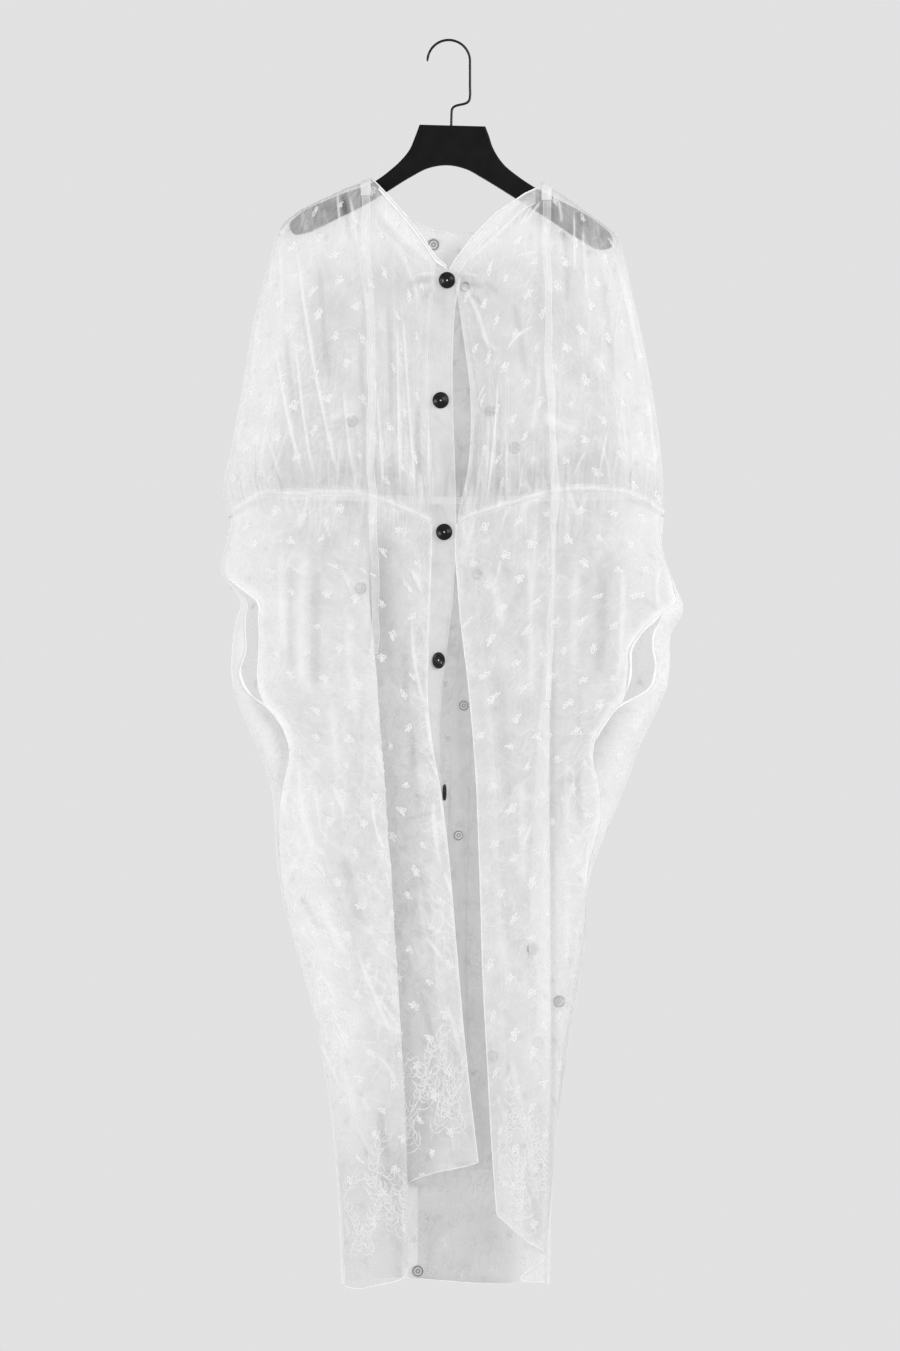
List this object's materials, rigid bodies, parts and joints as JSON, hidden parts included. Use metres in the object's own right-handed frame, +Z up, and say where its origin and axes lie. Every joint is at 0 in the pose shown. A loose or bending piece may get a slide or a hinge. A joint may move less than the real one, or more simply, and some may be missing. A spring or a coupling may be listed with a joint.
{
  "type": "cardigan dress on a hanger",
  "caption": "Sheer knee-length button-front cardigan dress with dolman sleeves, gathered waist seam and low arm openings, hanging on a flat hanger.",
  "frame": {"origin": "inside of the top of the hanger's hook, where a nail or rail bears", "axes": "+Z up, the front of the dress faces -Y, +X is to the right of someone who looks at its front"},
  "size_m": [0.5516, 0.0518, 1.4961],
  "materials": {
    "sheer_cloth": "sheer white embroidered voile",
    "band_cloth": "white voile in several layers, matt",
    "tie_cloth": "white voile ribbon, matt",
    "button_black": "black, semi-gloss",
    "stud_grey": "smoke grey, semi-gloss",
    "hanger_black": "black, satin",
    "wire_black": "black lacquered steel wire"
  },
  "bodies": {
    "root": {"back_stud_1": "stud_grey", "back_stud_2": "stud_grey", "back_stud_3": "stud_grey", "back_stud_4": "stud_grey", "back_stud_5": "stud_grey", "back_stud_6": "stud_grey", "back_stud_7": "stud_grey", "back_stud_8": "stud_grey", "back_stud_9": "stud_grey", "bodice_back": "sheer_cloth", "bodice_front_left": "sheer_cloth", "bodice_front_right": "sheer_cloth", "button_1": "button_black", "button_2": "button_black", "button_3": "button_black", "button_4": "button_black", "button_5": "button_black", "cuff_back_left": "band_cloth", "cuff_back_right": "band_cloth", "cuff_front_left": "band_cloth", "cuff_front_right": "band_cloth", "hanger_body": "hanger_black", "hanger_hook": "wire_black", "neck_band_right": "band_cloth", "neck_binding_left": "band_cloth", "neck_facing_back": "band_cloth", "placket_left": "band_cloth", "placket_right": "band_cloth", "shoulder_loop_left": "band_cloth", "shoulder_loop_right": "band_cloth", "skirt_back": "sheer_cloth", "skirt_front_left": "sheer_cloth", "skirt_front_right": "sheer_cloth", "skirt_front_right_return": "sheer_cloth", "socket_1": "stud_grey", "socket_2": "stud_grey", "socket_3": "stud_grey", "socket_4": "stud_grey", "socket_5": "stud_grey", "tie_left": "tie_cloth", "tie_right": "tie_cloth", "waist_band_back": "band_cloth", "waist_band_front_left": "band_cloth", "waist_band_front_right": "band_cloth"}
  },
  "joints": []
}
